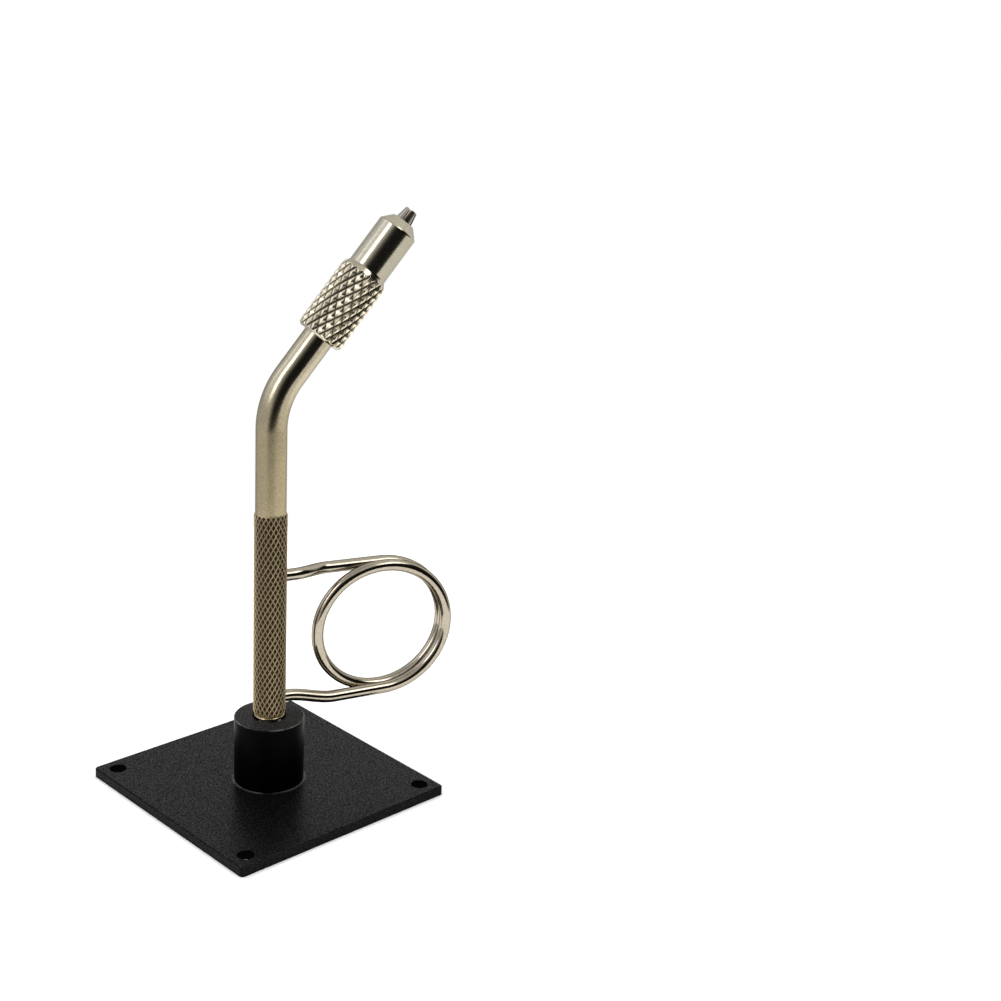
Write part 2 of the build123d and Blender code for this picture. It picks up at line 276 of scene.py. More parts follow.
class Wire:
    """An output socket of a node tree. Expressions on it add Math nodes to the tree."""

    def __init__(self, paint, socket):
        self.paint = paint
        self.socket = socket

    def __add__(self, other):
        return self.paint.math("ADD", self, other)

    def __radd__(self, other):
        return self.paint.math("ADD", other, self)

    def __sub__(self, other):
        return self.paint.math("SUBTRACT", self, other)

    def __rsub__(self, other):
        return self.paint.math("SUBTRACT", other, self)

    def __mul__(self, other):
        return self.paint.math("MULTIPLY", self, other)

    def __rmul__(self, other):
        return self.paint.math("MULTIPLY", other, self)


class Paint:
    """A node tree that is filled by expressions, and its shader: a material's, or the world's."""

    def __init__(self, tree, shader):
        self.tree = tree
        self.shader = tree.nodes[shader]

    def set(self, **inputs):
        """Set or link the shader's sockets, named with underscores in place of spaces."""
        self.feed(self.shader, {key.replace("_", " "): value for key, value in inputs.items()})

    def node(self, kind, settings=None, inputs=None, output=0):
        """Add a node with its settings, feed its sockets with values or wires, and give one output."""
        made = self.tree.nodes.new(kind)
        for key, value in (settings or {}).items():
            setattr(made, key, value)
        self.feed(made, inputs or {})
        return Wire(self, made.outputs[output])

    def feed(self, made, inputs):
        """Set or link the sockets of a node."""
        for key, value in inputs.items():
            if isinstance(value, Wire):
                self.tree.links.new(value.socket, made.inputs[key])
            else:
                made.inputs[key].default_value = value

    def along(self, axis, vector=None):
        """One coordinate of a vector, by default of the place on the object."""
        return self.node("ShaderNodeSeparateXYZ", None, {"Vector": vector or self.place()}, axis)

    def math(self, operation, *values):
        """Math node on values or wires."""
        return self.node("ShaderNodeMath", {"operation": operation}, dict(enumerate(values)))

    def step(self, value, low, high):
        """Smooth step of a wire from nought at low to one at high."""
        inputs = {"Value": value, "From Min": low, "From Max": high}
        return self.node("ShaderNodeMapRange", {"interpolation_type": "SMOOTHSTEP"}, inputs)

    def graded(self, shade):
        """Plain colour as it is, or a graded one as a mix by height on the object."""
        if isinstance(shade, Graded):
            return self.mix(self.step(self.along("Z"), shade.low, shade.high), shade.lower, shade.upper)
        return shade

    def mix(self, factor, first, second):
        """Colour between two colours."""
        inputs = {"Factor": factor, MIX_FIRST: rgba(first), MIX_SECOND: rgba(second)}
        return self.node("ShaderNodeMix", {"data_type": "RGBA"}, inputs, MIX_RESULT)

    def place(self):
        """Object coordinates."""
        return self.node("ShaderNodeTexCoord", output="Object")

    def noise(self, scale, detail, vector=None):
        """Noise between nought and one at a scale per metre."""
        inputs = {"Vector": vector or self.place(), "Scale": scale, "Detail": detail}
        return self.node("ShaderNodeTexNoise", None, inputs)

    def stretched(self, scale):
        """Object coordinates, scaled by its own factor along each axis."""
        return self.node("ShaderNodeMapping", None, {"Vector": self.place(), "Scale": scale})

    def groove(self):
        """Groove attribute of the piece's own mesh."""
        return self.node("ShaderNodeAttribute", {"attribute_name": "groove"}, None, "Fac")

    def bump(self, height, distance, strength):
        """Normal from a height."""
        inputs = {"Height": height, "Distance": distance, "Strength": strength}
        return self.node("ShaderNodeBump", None, inputs)


def rgba(value):
    """Colour with alpha, or a wire as it is."""
    return value if isinstance(value, Wire) else (*value, 1.0)


def material(name, **constants):
    """New material and its paint; constants are set on the sockets of its Principled shader."""
    made = bpy.data.materials.new(name)
    made.use_nodes = True
    paint = Paint(made.node_tree, "Principled BSDF")
    paint.set(**constants)
    return made, paint


def nickel(name, metal, wear_and_light, grime_and_shade, roughness, rim=0.7, dull=0.0):
    """Plated metal: faint cloudy tint, fine scatter in its gloss, and a knurl where the mesh has one, its
    faces coloured for wear and painted light and shade, its grooves for dirt and painted shade.

    Rim is the share of light given back at a glancing angle. Dull is what a knurl adds to the roughness and
    takes from the metallic share. Metal and the knurl's face colour may be graded by height.
    """
    made, paint = material(name, Metallic=1.0, Specular_Tint=(rim, rim, rim, 1.0))
    cloud = paint.noise(260.0, 3.0)
    grain = paint.noise(1900.0, 2.0)
    groove = paint.groove()
    shade = 0.3 * paint.step(cloud, 0.3, 0.75) + 0.7 * paint.step(grain, 0.35, 0.65)
    plain = paint.mix(0.2 * shade, paint.graded(metal), (0, 0, 0))
    on_knurl = paint.step(groove, 0.0, CREST)
    # The grooves take the groove colour: dirt, and painted shade of the recess
    in_groove = paint.step(groove, 0.45, 0.95)
    face = paint.mix(on_knurl, plain, paint.graded(wear_and_light))
    paint.set(
        Base_Color=paint.mix(in_groove, face, grime_and_shade),
        Roughness=roughness + 0.05 * cloud + 0.04 * grain + 0.25 * groove + dull * on_knurl,
        Normal=paint.bump(grain, 0.008 * MM, 0.6),
    )
    if dull:
        paint.set(Metallic=1 - dull * on_knurl)
    return made


def steel(name, metal, roughness, lines):
    """Turned or ground steel: fine lines across an axis, and small changes of gloss."""
    made, paint = material(name, Metallic=1.0)
    cut = paint.noise(1.0, 2.0, vector=paint.stretched(lines))
    cloud = paint.noise(400.0, 3.0)
    paint.set(
        Base_Color=paint.mix(cloud, [0.8 * part for part in metal], metal),
        Roughness=roughness + 0.12 * cut,
        Normal=paint.bump(cut, 0.006 * MM, 0.5),
    )
    return made


def tile(rows, columns, close_rows):
    """Quads of a grid whose columns go round; its rows go round too where they close."""
    last = rows if close_rows else rows - 1
    row, column = np.meshgrid(np.arange(last), np.arange(columns), indexing="ij")
    here = row * columns
    above = ((row + 1) % rows) * columns
    column_next = (column + 1) % columns
    return np.stack((here + column, here + column_next, above + column_next, above + column), -1)


def mesh_of(name, points, close_rows=False, diagonal=None, attribute=None, sharp=35.0):
    """Mesh of a grid of points, rows by columns, that goes round along its columns.

    Rows that do not close are capped by one face at each end. Where diagonal is given, each quad is two
    triangles, cut from its second corner to its fourth where diagonal is true, else from its first to its
    third. Attribute holds the groove values. Edges that turn by more than sharp, in degrees, stay sharp.
    """
    rows, columns = points.shape[:2]
    quads = tile(rows, columns, close_rows)
    if diagonal is None:
        faces = [quads.reshape(-1, 4)]
    else:
        first, second, third, fourth = np.moveaxis(quads, -1, 0)
        pick = diagonal[: quads.shape[0]]
        one = np.stack((first, second, np.where(pick, fourth, third)), -1)
        two = np.stack((np.where(pick, second, first), third, fourth), -1)
        faces = [one.reshape(-1, 3), two.reshape(-1, 3)]
    if not close_rows:
        faces.append(np.arange(columns)[None, ::-1])
        faces.append(np.arange((rows - 1) * columns, rows * columns)[None, :])
    sizes = np.concatenate([np.full(len(part), part.shape[1]) for part in faces])
    corners = np.concatenate([part.ravel() for part in faces])
    mesh = bpy.data.meshes.new(name)
    mesh.vertices.add(rows * columns)
    mesh.vertices.foreach_set("co", points.astype(np.float32).ravel())
    mesh.loops.add(len(corners))
    mesh.loops.foreach_set("vertex_index", corners.astype(np.int32))
    mesh.polygons.add(len(sizes))
    mesh.polygons.foreach_set("loop_start", (np.cumsum(sizes) - sizes).astype(np.int32))
    mesh.update(calc_edges=True)
    values = np.zeros((rows, columns)) if attribute is None else attribute
    groove = mesh.attributes.new("groove", "FLOAT", "POINT")
    groove.data.foreach_set("value", values.astype(np.float32).ravel())
    if mesh.validate(verbose=False):
        raise RuntimeError(f"{name}: the grid gave faces that are not valid")
    mesh.shade_smooth()
    mesh.set_sharp_from_angle(angle=math.radians(sharp))
    return mesh


def piece(name, points, body, node, slot, finish, **form):
    """Put the mesh of a grid in the scene as a piece that rides on a body and stands for a node."""
    mesh = mesh_of(name, points, **form)
    made = bpy.data.objects.new(name, mesh)
    bpy.context.scene.collection.objects.link(made)
    mesh.materials.append(finish)
    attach(made, body)
    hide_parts(node)
    return made


def dress(node, finish):
    """Give a node that stays as it is its finish."""
    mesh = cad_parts[node].data
    mesh.materials.clear()
    mesh.materials.append(finish)


def ring_angles(columns):
    """Angles round a section, the last one short of the first."""
    return np.arange(columns) * (2 * np.pi / columns)


def arm_frame(stem):
    """Corner of the bend, then unit vectors along the arm, across it in the bend's plane, and along Y."""
    lean = stem.bend_angle
    corner = np.array((0, 0, FOOT + stem.straight + stem.bend_radius * math.tan(lean / 2)))
    along = np.array((math.sin(lean), 0, math.cos(lean)))
    across = np.array((math.cos(lean), 0, -math.sin(lean)))
    return corner, along, across, AXIS_Y


def swept(line, radius, angles, first, second):
    """Surface round a line of points: line + radius * (first * cos + second * sin).

    First and second are unit vectors across the line. They and the radius may change along it, and the
    radius round it too.
    """
    first = np.broadcast_to(first, line.shape)[:, None, :]
    second = np.broadcast_to(second, line.shape)[:, None, :]
    spoke = np.cos(angles)[:, None] * first + np.sin(angles)[:, None] * second
    radius = np.broadcast_to(radius, (len(line), len(angles)))
    return line[:, None, :] + radius[..., None] * spoke


def turned(place, radius, angles, corner, along, across, back):
    """Surface turned about the arm, by the place along it from the corner of the bend."""
    return swept(corner + place[:, None] * along, radius, angles, across, back)


def upright(height, radius, angles):
    """Surface turned about the upright axis."""
    return swept(height[:, None] * AXIS_Z, radius, angles, AXIS_X, AXIS_Y)


def knurl(place, angles, around, pitch):
    """Distances to the nearest lines of a diamond knurl, as shares of the way from one line to the next.

    Two families of lines run where around * angle / 2pi plus or minus place / pitch is whole. Also gives
    whether a line of the first family is the nearer one in each cell of the grid, to cut the cell along it.
    """
    lap = around * angles[None, :] / (2 * np.pi)
    rise = place[:, None] / pitch

    def nearest(lap, rise):
        """Distance to the nearest line of each family."""
        return np.abs(lap + rise - np.round(lap + rise)), np.abs(lap - rise - np.round(lap - rise))

    first, second = nearest(lap, rise)
    half_lap = around / len(angles) / 2
    half_rise = np.diff(rise, axis=0, append=rise[-1:]) / 2
    middle_first, middle_second = nearest(lap + half_lap, rise + half_rise)
    return first, second, middle_first < middle_second


class VISE_OT_base(Operator):
    """Finish the plate and its screw, and turn the boss with a rounded rim"""

    bl_idname = "vise.base"
    bl_label = "Base"

    def execute(self, context):
        base = context.scene.vise_base
        blackened = steel("screw_black", base.screw, roughness=0.42, lines=(900.0, 900.0, 3000.0))
        dress("base_plate", coated_plate(base))
        dress("socket_screw", blackened)
        half = base.socket_diameter / 2
        bore = base.socket_bore / 2
        bevel = bore + base.socket_bevel
        screw = base.screw_bore / 2
        sweep = np.linspace(0, np.pi / 2, 7)
        rim_radius = half - base.socket_rim * (1 - np.cos(sweep))
        rim_height = SOCKET_TOP - base.socket_rim * (1 - np.sin(sweep))
        foot_break = base.socket_rim / 4
        outside = ((screw, PLATE_TOP), (half - foot_break, PLATE_TOP), (half, PLATE_TOP + foot_break))
        rim = np.stack((rim_radius, rim_height), -1)
        inside = (
            (bevel, SOCKET_TOP),
            (bore, SOCKET_TOP - base.socket_bevel),
            (bore, base.socket_floor),
            (screw, base.socket_floor),
        )
        radius, height = np.concatenate((outside, rim, inside)).T
        points = upright(height, radius[:, None], ring_angles(ROUND["boss"]))
        # The middle rows of the rim are marked for bare patches: edge wear, and a painted highlight along
        # the rim
        middle = len(outside) + len(rim) // 2
        wear_and_light = np.zeros(points.shape[:2])
        wear_and_light[middle - 1 : middle + 2] = 1
        form = {"close_rows": True, "attribute": wear_and_light}
        piece("base_socket_form", points, "base", "base_socket", "boss_black", coated_boss(base), **form)
        return {"FINISHED"}


def coated_plate(base):
    """Black coat: pebbled by fine noise, with pale specks, and rubbed bare in patches round the boss.

    Its sides, and the walls of its holes still more, are painted darker than its faces: painted shade.
    """
    made, paint = material("plate_coat", Specular_IOR_Level=0.02, Coat_Roughness=0.3)
    pebble = paint.noise(3000.0, 2.0)
    cloud = paint.noise(60.0, 4.0)
    specks = paint.step(paint.noise(1500.0, 1.0), 0.69, 0.76)
    sand = paint.step(pebble, 0.46, 0.66)
    flattened = paint.stretched((1.0, 1.0, 0.0))
    away = paint.node("ShaderNodeVectorMath", {"operation": "LENGTH"}, {0: flattened}, "Value")
    height = paint.along("Z")
    patchy = paint.step(paint.noise(220.0, 3.0), 0.3, 0.65)
    skin = 0.03 * MM
    blur = 0.05 * MM
    top = paint.step(height, PLATE_TOP - skin - blur, PLATE_TOP - skin)
    rub_end = base.socket_diameter / 2 + base.rub_width
    ring = top * (1 - paint.step(away, rub_end - 0.5 * MM, rub_end))
    turned_back = {"Vector": paint.place(), "Angle": -base.plate_turn}
    square = paint.node("ShaderNodeVectorRotate", {"rotation_type": "Z_AXIS"}, turned_back)
    sides = [paint.math("ABSOLUTE", paint.along(axis, square)) for axis in "XY"]
    # In the plate's own square, walls further in than this are those of its holes
    hole_limit = base.plate_width / 2 - 0.8 * MM
    within = 1 - paint.step(paint.math("MAXIMUM", *sides), hole_limit - 0.4 * MM, hole_limit)
    wall = (1 - top) * paint.step(height, skin, skin + blur)
    # Painted shade: the sides are darkened, and the walls of the holes more
    side_shade = 0.62
    lit = 1 - wall * (side_shade + (1 - side_shade) * within)
    bare = patchy * ring * 0.5
    pale = lit * (specks * 0.25 + sand * (0.03 + 0.1 * cloud))
    coat = paint.mix(pale, base.coat, base.speck)
    paint.set(
        Base_Color=paint.mix(bare, coat, base.bare),
        Roughness=0.3 + 0.14 * cloud,
        Coat_Weight=lit * (0.02 + 0.54 * paint.step(pebble, 0.43, 0.59)),
        Normal=paint.bump(pebble, 0.03 * MM, 0.7),
    )
    return made


def coated_boss(base):
    """Glossier black: turning lines, rubs, a sandy top painted paler as painted sheen, and bare patches
    where the mesh marks the rim.
    """
    made, paint = material("boss_coat", Specular_IOR_Level=0.03)
    rim = base.socket_rim
    # The flat top takes the paler speck colour through sandy noise: sandy texture, and painted sheen of the
    # upward face
    flat = paint.step(paint.along("Z"), SOCKET_TOP - rim / 4, SOCKET_TOP - rim / 8)
    sand = paint.step(paint.noise(2200.0, 2.0), 0.4, 0.7)
    lines = paint.noise(1.0, 2.0, vector=paint.stretched((120.0, 120.0, 9000.0)))
    rub = paint.step(paint.noise(300.0, 4.0), 0.62, 0.8)
    # Bare patches on the rim: edge wear, and a painted highlight of the rim's light edge
    wear_and_light = paint.groove() * paint.step(paint.noise(220.0, 3.0), 0.3, 0.65)
    coat = paint.mix(rub * 0.02 + flat * (0.1 + 0.6 * sand), base.gloss, base.speck)
    paint.set(
        Base_Color=paint.mix(wear_and_light * 0.8, coat, base.bare),
        Roughness=0.3 + 0.1 * lines + 0.15 * rub,
        Normal=paint.bump(lines, 0.004 * MM, 0.5),
    )
    return made


class VISE_OT_stem(Operator):
    """Build the bent stem with its knurled grip, a net of raised lines"""

    bl_idname = "vise.stem"
    bl_label = "Stem"

    cells: count("Cells", "Cells of the grid along one diamond", 10, 4)

    def execute(self, context):
        stem = context.scene.vise_stem
        angles = ring_angles(stem.knurl_around * self.cells)
        rod = stem.rod_diameter / 2
        crest = stem.grip_diameter / 2
        neck = crest - stem.foot_step
        bend_length = stem.bend_radius * stem.bend_angle
        end = stem.straight + bend_length + stem.arm_length
        step = stem.knurl_pitch / self.cells
        top = stem.grip_length
        bow = np.linspace(-np.pi / 2, np.pi / 2, 9)
        hole = np.array((stem.stud_hole_depth, 0))
        bead = stem.foot_bead / 2 * (1 + np.sin(bow))
        grip_start = 1.2 * stem.foot_bead
        grip = np.arange(math.ceil(grip_start / step), math.ceil(top / step) + 2) * step
        plain = np.linspace(top + 2 * step, stem.straight, 12)
        bend = np.linspace(stem.straight, stem.straight + bend_length, 40)[1:]
        arm = np.linspace(stem.straight + bend_length, end, 10)[1:]
        collet = np.array((end, end - stem.collet_hole_depth))
        place = np.concatenate((hole, bead, grip, plain, bend, arm, collet))
        first, second, cut = knurl(place, angles, stem.knurl_around, stem.knurl_pitch)
        # Height of a raised line, as a share of the knurl's depth, by the distance from its middle
        away = (0, 0.1, 0.2, 0.5)
        share = (1, 0.65, 0.15, 0)
        ridge = np.interp(np.minimum(first, second), away, share)
        ends = (stem.foot_bead, 2 * stem.foot_bead, top - stem.grip_end_break, top)
        limit = np.interp(place, ends, (neck, crest, crest, rod))[:, None]
        fade_out = (top - 0.2 * MM, top + 0.4 * MM)
        fade = np.interp(place, fade_out, (0, 1))[:, None]
        worked = crest - stem.knurl_depth * (1 - ridge) * (1 - fade)
        radius = np.minimum(worked, limit)
        # The power below one makes the dark groove colour, dirt and painted shade, start close beside a
        # raised line
        deep = CREST + (1 - CREST) * (1 - ridge) ** 0.45
        groove = np.where(worked < limit, deep, CREST) * (1 - fade)
        foot = len(hole) + len(bead)
        radius[: len(hole)] = stem.stud_hole / 2
        radius[len(hole) : foot] = (neck + stem.foot_bead / 2 * np.cos(bow))[:, None]
        radius[-len(collet) :] = stem.collet_hole / 2
        groove[:foot] = 0
        points = bent(place, radius, angles, stem)
        bend_foot = FOOT + stem.straight
        pale_from = bend_foot - 6 * MM
        pale_full = bend_foot + 16 * MM
        # Painted reflection: the metal grades from warm below the bend to paler on the arm
        metal = Graded(stem.metal, stem.arm_painted_reflection, pale_from, pale_full)
        # The knurl's faces grade from lighter at the foot to browner at the top: painted light and shade,
        # with wear
        wear_and_light = Graded(stem.foot_wear_and_light, stem.wear_and_light, FOOT, FOOT + stem.grip_length)
        finish = nickel("stem_nickel_finish", metal, wear_and_light, stem.grime_and_shade, roughness=0.1, rim=0.5, dull=0.28)
        piece("stem_form", points, "stem", "stem_rod", "stem_nickel", finish, diagonal=cut, attribute=groove)
        return {"FINISHED"}


def bent(place, radius, angles, stem):
    """Tube round the stem's middle line: upright, then an arc about Y, then straight along the arm.

    At a place along the line it has turned by (place - straight) / bend radius, kept between nought and the
    bend angle. The section's spokes lie across the line in the plane of the bend and along Y.
    """
    lean = np.clip((place - stem.straight) / stem.bend_radius, 0, stem.bend_angle)
    over = np.maximum(place - stem.straight - stem.bend_radius * stem.bend_angle, 0)
    across_x = stem.bend_radius * (1 - np.cos(lean)) + over * np.sin(lean)
    up = FOOT + np.minimum(place, stem.straight) + stem.bend_radius * np.sin(lean) + over * np.cos(lean)
    line = np.stack((across_x, np.zeros_like(up), up), -1)
    across = np.stack((np.cos(lean), np.zeros_like(lean), -np.sin(lean)), -1)
    return swept(line, radius, angles, across, AXIS_Y)


class VISE_OT_stud(Operator):
    """Build the threaded stud at the foot of the stem"""

    bl_idname = "vise.stud"
    bl_label = "Stud"

    def execute(self, context):
        stud = context.scene.vise_stud
        angles = ring_angles(ROUND["stud"])
        height = np.linspace(STUD_LOW, STUD_HIGH, STUD_ROWS)
        phase = (height[:, None] / stud.pitch - angles[None, :] / (2 * np.pi)) % 1
        # Height of the thread, as a share of its depth, along one pitch: root, flank, crest, flank, root
        along = (0, 0.06, 0.44, 0.56, 0.94, 1)
        share = (0, 0, 1, 1, 0, 0)
        ridge = np.interp(phase, along, share)
        crest = stud.diameter / 2
        radius = crest - stud.depth * (1 - ridge)
        bevel = crest - stud.end_break + (height - STUD_LOW)
        radius = np.minimum(radius, bevel[:, None])
        radius = np.where(height[:, None] > FOOT - stud.run_out, crest - stud.depth, radius)
        points = upright(height, radius, angles)
        root = [0.45 * part for part in stud.metal]
        finish = nickel("stud_steel_finish", stud.metal, stud.metal, root, roughness=0.24)
        form = {"attribute": 1 - ridge, "sharp": 50.0}
        piece("stud_thread", points, "stud", "stem_stud", "thread_steel", finish, **form)
        return {"FINISHED"}


class VISE_OT_loop(Operator):
    """Wind the finger loop from one length of wire"""

    bl_idname = "vise.loop"
    bl_label = "Finger loop"

    def execute(self, context):
        loop = context.scene.vise_loop
        line = loop_line(loop, context.scene.vise_stem.grip_diameter / 2)
        points = tube(line, loop.wire_diameter / 2, ring_angles(ROUND["wire"]))
        finish = nickel("loop_nickel_finish", loop.metal, loop.metal, loop.metal, roughness=0.05, rim=0.05)
        piece("finger_loop_wire", points, "stem", "finger_loop", "loop_nickel", finish)
        return {"FINISHED"}


def loop_line(loop, grip):
    """Middle line of the wire: out of the grip, over the top of the coil, round it, and back into the grip.

    The coil is an oval helix about Y: from its top it goes over towards +X while it drifts towards -Y by
    one pitch a turn. A leg runs straight out of the grip, then eases with a cubic of matching tangents into
    a line along the coil's own tangent.
    """
    pitch = loop.wire_diameter + loop.turn_gap
    reach = grip + loop.stand_off + loop.wire_diameter / 2 + loop.half_width
    middle = np.array((reach, loop.set_back, FOOT + loop.height))
    drift = pitch / (2 * np.pi)
    sweep = np.linspace(0, 2 * np.pi * loop.turns, round(ROWS_A_TURN * loop.turns) + 1)
    sideways = pitch * loop.turns / 2 - drift * sweep
    oval = (loop.half_width * np.sin(sweep), sideways, loop.half_height * np.cos(sweep))
    coil = middle + np.stack(oval, -1)
    slope = np.array((1, -drift / loop.half_width, 0))
    slope_back = slope * (1, -1, 1)
    root = np.array((grip - loop.leg_depth, 0, FOOT))
    upper_start = grip + loop.upper_straight
    lower_start = grip + loop.lower_straight
    upper = leg_line(root, loop.upper_leg, upper_start, loop.upper_bend, coil[0], slope)
    lower = leg_line(root, loop.lower_leg, lower_start, loop.lower_bend, coil[-1], slope_back)
    return np.concatenate((upper, coil[1:-1], lower[::-1]))


def leg_line(root, height, bend_start, bend_length, join, slope):
    """Leg of the loop from its end in the stem to where it joins the coil along a slope per unit of X."""
    start = root + (0, 0, height)
    bend = np.array((bend_start, 0, start[2]))
    ease = join + slope * (bend_start + bend_length - join[0])
    along = np.linspace(0, 1, 25)[:, None]
    run = ease[0] - bend[0]
    cubic = (
        (2 * along**3 - 3 * along**2 + 1) * bend
        + (along**3 - 2 * along**2 + along) * np.array((run, 0, 0))
        + (3 * along**2 - 2 * along**3) * ease
        + (along**3 - along**2) * slope * run
    )
    inner = start + (bend - start) * np.linspace(0, 1, 6)[:-1, None]
    outer = ease + (join - ease) * np.linspace(0, 1, 12)[1:, None]
    return np.concatenate((inner, cubic, outer))


def tube(line, radius, angles):
    """Tube round a line that never runs along Y, with its spokes along Y x heading and square to that."""
    heading = np.gradient(line, axis=0)
    heading /= np.linalg.norm(heading, axis=1, keepdims=True)
    first = np.cross(AXIS_Y, heading)
    first /= np.linalg.norm(first, axis=1, keepdims=True)
    return swept(line, radius, angles, first, np.cross(heading, first))


class VISE_OT_sleeve(Operator):
    """Turn the closing sleeve, and seat the friction ring in its mouth"""

    bl_idname = "vise.sleeve"
    bl_label = "Closing sleeve"

    cells: count("Cells", "Cells of the grid along one diamond", 16, 4)

    def execute(self, context):
        head = context.scene.vise_head
        arm = arm_frame(context.scene.vise_stem)
        angles = ring_angles(head.knurl_around * self.cells)
        crest = head.grip_diameter / 2
        nose = head.nose_diameter / 2
        grip_end = head.mouth + head.grip_length
        shoulder_end = grip_end + head.shoulder_length
        bevel_start = shoulder_end + head.nose_length
        tip = bevel_start + head.bevel_length
        step = head.knurl_pitch / self.cells
        worked = np.arange(head.mouth, shoulder_end, step)
        cone_end = tip - head.tip_land
        cone_start = cone_end - (head.thread_bore - head.tip_bore) / 2 / math.tan(head.closing_angle)
        # Rows close to each edge of the profile keep the shading of the broad faces flat
        edge = 0.1 * MM
        beside = 3 * edge
        mouth = head.mouth
        floor = mouth + head.mouth_depth
        rim = head.tip_diameter / 2
        bore = head.tip_bore / 2
        thread = head.thread_bore / 2
        recess = head.mouth_bore / 2
        slope = (nose - rim) / head.bevel_length
        plain = (
            (shoulder_end + edge, nose),
            (shoulder_end + beside, nose),
            (bevel_start - beside, nose),
            (bevel_start - edge, nose),
            (bevel_start + edge, nose - edge * slope),
            (bevel_start + beside, nose - beside * slope),
            (tip - beside, rim + beside * slope),
            (tip - edge, rim + edge * slope),
            (tip, rim - edge),
            (tip, bore + edge),
            (tip - edge, bore),
            (cone_end, bore),
            (cone_start, thread),
            (floor, thread),
            (floor, recess),
            (mouth + edge, recess),
            (mouth, recess + edge),
        )
        plain_place, plain_radius = np.array(plain).T
        place = np.concatenate((worked, plain_place))
        first, second, cut = knurl(place, angles, head.knurl_around, head.knurl_pitch)
        # Each diamond rises to a point, and the grooves of the first family are cut less deep
        shallow = 0.2
        height = np.minimum(shallow + 2 * (1 - shallow) * first, 2 * second)[: len(worked)]
        mouth_cone = crest - head.end_break + worked - head.mouth
        shoulder = np.interp(worked, (grip_end, shoulder_end), (crest, nose))
        limit = np.minimum(mouth_cone, shoulder)[:, None]
        knurled = np.minimum(crest - head.knurl_depth * (1 - height), limit)
        smooth = np.broadcast_to(plain_radius[:, None], (len(plain), len(angles)))
        radius = np.concatenate((knurled, smooth))
        groove = np.zeros_like(radius)
        groove[: len(worked)] = np.where(knurled < limit, CREST + (1 - CREST) * (1 - height), 0)
        points = turned(place, radius, angles, *arm)
        finish = nickel("sleeve_nickel_finish", head.metal, head.crest, head.grime_and_shade, roughness=0.1)
        form = {"close_rows": True, "diagonal": cut, "attribute": groove}
        piece("sleeve_form", points, "sleeve", "closing_sleeve", "sleeve_nickel", finish, **form)
        seat_ring(head, arm)
        return {"FINISHED"}


def seat_ring(head, arm):
    """Round ring in the mouth: a circle of half the section carried round the arm."""
    section = ring_angles(ROUND["ring section"])
    place = head.mouth + head.ring_place - head.ring_section / 2 * np.cos(section)
    radius = head.ring_diameter / 2 + head.ring_section / 2 * np.sin(section)
    points = turned(place, radius[:, None], ring_angles(ROUND["ring"]), *arm)
    finish, paint = material("ring_rubber_finish", Specular_IOR_Level=0.35)
    bloom = paint.noise(900.0, 3.0)
    paint.set(Base_Color=paint.mix(bloom, head.rubber, head.bloom), Roughness=0.35 + 0.25 * bloom)
    piece("friction_ring", points, "ring", "sleeve_friction_ring", "ring_rubber", finish, close_rows=True)


class VISE_OT_jaws(Operator):
    """Build the four jaws of the slit collet, and finish its shank"""

    bl_idname = "vise.jaws"
    bl_label = "Collet jaws"

    def execute(self, context):
        head = context.scene.vise_head
        arm = arm_frame(context.scene.vise_stem)
        finish = steel("collet_steel_finish", head.steel, roughness=0.2, lines=(2500.0, 2500.0, 900.0))
        dress("collet_shank", finish)
        quarters = {"jaw_lower": 0.0, "jaw_rear": 0.5, "jaw_upper": 1.0, "jaw_front": 1.5}
        for name, half_turns in quarters.items():
            points = jaw_grid(head, half_turns * np.pi, arm)
            made = piece(f"{name}_form", points, name, name, "collet_steel", finish, sharp=30.0)
            bevel = made.modifiers.new("rounded_edges", "BEVEL")
            bevel.width = head.jaw_edge
            bevel.segments = 2
            bevel.limit_method = "ANGLE"
            bevel.angle_limit = math.radians(40)
        return {"FINISHED"}


def jaw_grid(head, facing, arm):
    """Quarter of the collet, carried along the arm.

    Each section has a corner at half the slit from both slit planes, a flat along each plane, and an arc of
    the collet's radius between them. The radius follows the collet's profile from root to tip.
    """
    corner, along, across, back = arm
    tip = head.mouth + head.grip_length + head.shoulder_length + head.nose_length + head.bevel_length
    reach = tip + head.jaw_reach
    neck = head.jaw_diameter / 2
    wide = head.jaw_head_diameter / 2
    top = head.jaw_tip_diameter / 2
    cone_end = head.jaw_head + (wide - neck) / math.tan(head.closing_angle)
    bow = np.linspace(0, np.pi / 2, 5)
    place = np.array((head.jaw_root, head.jaw_head - head.jaw_head_ramp, head.jaw_head, cone_end, tip))
    place = np.concatenate((place, reach - head.jaw_round * (1 - np.sin(bow))))
    radius = np.concatenate(((neck, neck, wide, neck, neck), top - head.jaw_round * (1 - np.cos(bow))))
    half = head.jaw_slit / 2
    width = np.sqrt(radius**2 - half**2)
    start = np.arcsin(half / radius)
    shares = np.linspace(0, 1, 15)
    sweep = start[:, None] + (np.pi / 2 - 2 * start[:, None]) * shares
    flat = np.linspace(0, 1, 4)[:-1]
    out = half + (width[:, None] - half) * flat
    level = np.full_like(out, half)
    # The last column would be the first corner again, so it is left off
    first = np.concatenate((out, radius[:, None] * np.cos(sweep), level[:, ::-1]), 1)[:, :-1]
    second = np.concatenate((level, radius[:, None] * np.sin(sweep), out[:, ::-1]), 1)[:, :-1]
    turn_first = facing - np.pi / 4
    axis_first = np.cos(turn_first) * across + np.sin(turn_first) * back
    axis_second = np.cos(turn_first + np.pi / 2) * across + np.sin(turn_first + np.pi / 2) * back
    line = corner + place[:, None, None] * along
    return line + first[..., None] * axis_first + second[..., None] * axis_second


